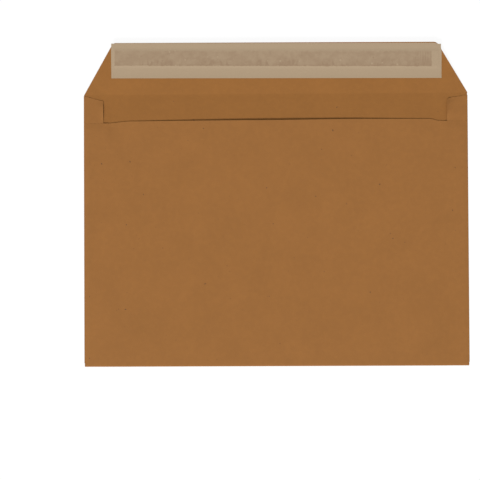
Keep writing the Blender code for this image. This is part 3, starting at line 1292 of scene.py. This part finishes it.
    def build_liner(self) -> Object:
        """The release liner: raised over the adhesive, flat round it, its free lip a little curled.

        Returns:
            The liner.
        """
        low, high = self.band_depths()
        inputs = {
            "Base Height": 2 * self.gap,
            "Swell": self.band.thickness + 2 * self.gap,
            "Swell Low": low - self.swell_margin,
            "Swell High": high + self.swell_margin,
            "Swell Reach": (self.band_x[1] - self.band_x[0]) / 2 + self.swell_end,
            "Swell Slope": self.band.slope - self.liner.slope,
            "Lip Curl": 2 * self.lip_curl,
            "Material": self.liner_material(),
        }
        inputs |= {"Left Droop": self.left_droop, "Right Droop": self.right_droop}
        ends = (self.liner_x[0], self.liner_x[1] - self.end_inset)
        return self.strip("release_strip", self.liner, ends, inputs)


@dataclass
class Shives:
    """Slivers of wood that lie in the paper's upper faces."""

    sheet: Object
    material: Material
    density: float = 2900.0
    length: float = 1.0 * MM
    slimness: float = 0.42
    thickness: float = 0.012 * MM
    least: float = 0.28
    growth: float = 0.70
    rarity: float = 8.0
    seed: int = 11
    size_seed: int = 5

    def tree(self) -> NodeTree:
        """Geometry Nodes that scatter slivers over the faces that look up.

        Returns:
            The tree.
        """
        tree = GeometryTree("Shives", Float="Density, Length, Slimness", Int="Seed")
        given = tree.given
        up = tree.parts(tree.add("GeometryNodeInputNormal").outputs[0])[2]
        chosen = tree.add("FunctionNodeCompare", {0: up, 1: 0.9}, data_type="FLOAT", operation="GREATER_THAN")
        inputs = {"Mesh": given[0], "Selection": chosen.outputs[0], "Seed": given["Seed"]}
        inputs["Density"] = tree.product(given["Density"], tree.attribute("open"))
        points = tree.add("GeometryNodeDistributePointsOnFaces", inputs).outputs[0]
        ball = tree.add("GeometryNodeMeshUVSphere", {"Segments": 6, "Rings": 4, "Radius": 1.0}).outputs[0]
        width = tree.product(given["Length"], given["Slimness"])
        size = tree.vector(given["Length"], width, self.thickness)
        sliver = tree.add("GeometryNodeTransform", {"Geometry": ball, "Scale": size}).outputs[0]
        spin = tree.add("FunctionNodeRandomValue", {2: -pi, 3: pi, "Seed": given["Seed"]}).outputs[1]
        chance = tree.add("FunctionNodeRandomValue", {2: 0.0, 3: 1.0, "Seed": self.size_seed}).outputs[1]
        grow = tree.math("MULTIPLY_ADD", tree.math("POWER", chance, self.rarity), self.growth, self.least)
        inputs = {"Points": points, "Instance": sliver, "Scale": grow}
        inputs["Rotation"] = tree.vector(0.0, 0.0, spin)
        placed = tree.add("GeometryNodeInstanceOnPoints", inputs).outputs[0]
        return tree.finish(placed, [{"Material": self.material}])

    def build(self) -> Object:
        """Makes the slivers as one piece.

        Returns:
            The piece.
        """
        raw = new_object("shives_base", self.sheet.data.copy())
        inputs = {"Density": self.density, "Length": self.length, "Slimness": self.slimness}
        add_nodes(raw, self.tree(), inputs | {"Seed": self.seed})
        return as_plain_mesh(raw, "wood_shives")


@dataclass
class Studio:
    """A pale floor, a soft key from the front left, an even sky and the camera above."""

    sky: float = 0.40
    key_share: float = 0.60
    key_distance: float = 12.0
    key_side: float = 3.0
    key_azimuth: float = radians(197)
    key_elevation: float = radians(37)
    floor_half: float = 4.0
    floor_drop: float = 0.02 * MM
    floor_colour: Colour = (0.80, 0.80, 0.80)
    floor_seen: Colour = (0.09, 0.09, 0.09)
    floor_glow: float = 0.93
    lens: float = 100.0
    camera_reach: float = 20.0
    camera_place: Point = (-0.01318, -0.0523, 1.1243)
    camera_turn: Point = (radians(1.12), radians(0.88), radians(-0.28))

    def seen(self, tree: Tree) -> Socket:
        """1 for rays from the camera and for those that a gloss or a glass sends on.

        Args:
            tree: The tree being filled.

        Returns:
            1 or 0.
        """
        path = tree.add("ShaderNodeLightPath").outputs
        either = tree.math("MAXIMUM", path["Is Camera Ray"], path["Is Glossy Ray"])
        return tree.math("MAXIMUM", either, path["Is Transmission Ray"])

    def build_floor(self) -> None:
        """The floor: white to the camera but for the object's own shadow."""
        mesh = bpy.data.meshes.new("floor")
        signs = ((-1, -1), (1, -1), (1, 1), (-1, 1))
        corners = [(x * self.floor_half, y * self.floor_half, -self.floor_drop) for x, y in signs]
        mesh.from_pydata(corners, [], [(0, 1, 2, 3)])
        tree = Surface("Floor")
        seen = self.seen(tree)
        tree.dress(tree.blend(seen, self.floor_colour, self.floor_seen), 0.9, 0.0)
        tree.feed(tree.shader["Emission Color"], WHITE)
        tree.feed(tree.shader["Emission Strength"], tree.product(seen, self.floor_glow))
        mesh.materials.append(tree.material)
        floor = new_object("floor", mesh)

    def build_sky(self) -> None:
        """The even light from all round, white where the camera sees it."""
        world = bpy.data.worlds.new("Studio")
        world.use_nodes = True
        tree = Tree(world.node_tree)
        background = world.node_tree.nodes["Background"].inputs
        tree.feed(background["Color"], WHITE)
        strength = tree.math("MULTIPLY_ADD", self.seen(tree), 1.0 - self.sky, self.sky)
        tree.feed(background["Strength"], strength)
        bpy.context.scene.world = world

    def build_key(self) -> None:
        """The soft key, so strong that with the sky a flat white sheet renders as white."""
        lamp = bpy.data.lights.new("Key", "AREA")
        lamp.shape = "SQUARE"
        lamp.size = self.key_side
        lamp.energy = self.key_share * pi**2 * self.key_distance**2 / sin(self.key_elevation)
        flat = cos(self.key_elevation)
        away = Vector((flat * sin(self.key_azimuth), flat * cos(self.key_azimuth), sin(self.key_elevation)))
        item = new_object("Key", lamp)
        item.location = away * self.key_distance
        item.rotation_euler = away.to_track_quat("Z", "Y").to_euler()

    def build_camera(self) -> None:
        """The camera, looking down on the envelope with a long lens."""
        camera = bpy.data.cameras.new("Camera")
        camera.lens = self.lens
        camera.clip_end = self.camera_reach
        item = new_object("Camera", camera)
        item.location = self.camera_place
        item.rotation_euler = self.camera_turn
        bpy.context.scene.camera = item

    def build(self) -> None:
        """Makes the whole studio."""
        self.build_floor()
        self.build_sky()
        self.build_key()
        self.build_camera()
        bpy.context.scene.view_settings.view_transform = "Standard"


def dress_gum(nodes: dict[str, Object], material: Material) -> None:
    """Gives the two lines of seam gum their finish.

    Args:
        nodes: The frame's objects by name.
        material: The gum's material.
    """
    for name in ("seam_glue_left", "seam_glue_right"):
        slots = nodes[name].data.materials
        slots.clear()
        slots.append(material)
        LOG.info("dressed %s", name)


def place_piece(piece: Object, slot: str, *nodes: str) -> None:
    """Makes a piece ride on the envelope and stand for CAD nodes.

    Args:
        piece: The piece.
        slot: Its material slot; not used.
        nodes: The CAD nodes that it replaces.
    """
    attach(piece, BODY)
    if nodes:
        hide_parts(*nodes)
    LOG.info("%s: %d faces", piece.name, len(piece.data.polygons))


def main() -> None:
    """Builds the envelope's pieces in order, then the studio."""
    logging.basicConfig(level=logging.INFO, format="%(message)s")
    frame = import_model()
    sheet_low, sheet_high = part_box("envelope_sheet")
    band_low, band_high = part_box("adhesive_band")
    liner_low, liner_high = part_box("release_liner")

    outer = KraftFinish(colour=(0.318, 0.1355, 0.0358)).build("Kraft outer face")
    inner = KraftFinish(colour=(0.296, 0.1235, 0.0293), tooth=0.35).build("Kraft inner face")
    cut = KraftFinish(colour=(0.37, 0.175, 0.058), tooth=0.6).build("Kraft cut edge")
    adhesive = GumFinish((0.50, 0.38, 0.25), 0.35).build("Seal adhesive")
    gum = GumFinish((0.60, 0.48, 0.33), 0.45).build("Seam gum")
    shive = ShiveFinish().build("Wood shive")

    folded = FoldedSheet(sheet_low, sheet_high, [outer, inner, cut])
    sheet = folded.build()
    place_piece(sheet, "kraft_paper", "envelope_sheet")

    strip = SealStrip(folded.flap, adhesive, (band_low.x, band_high.x), (liner_low.x, liner_high.x))
    place_piece(strip.build_adhesive(), "seal_adhesive", "adhesive_band")
    place_piece(strip.build_liner(), "liner_paper", "release_liner")
    place_piece(Shives(sheet, shive).build(), "kraft_paper")
    dress_gum(frame["nodes"], gum)

    Studio().build()


if __name__ == "__main__":
    main()
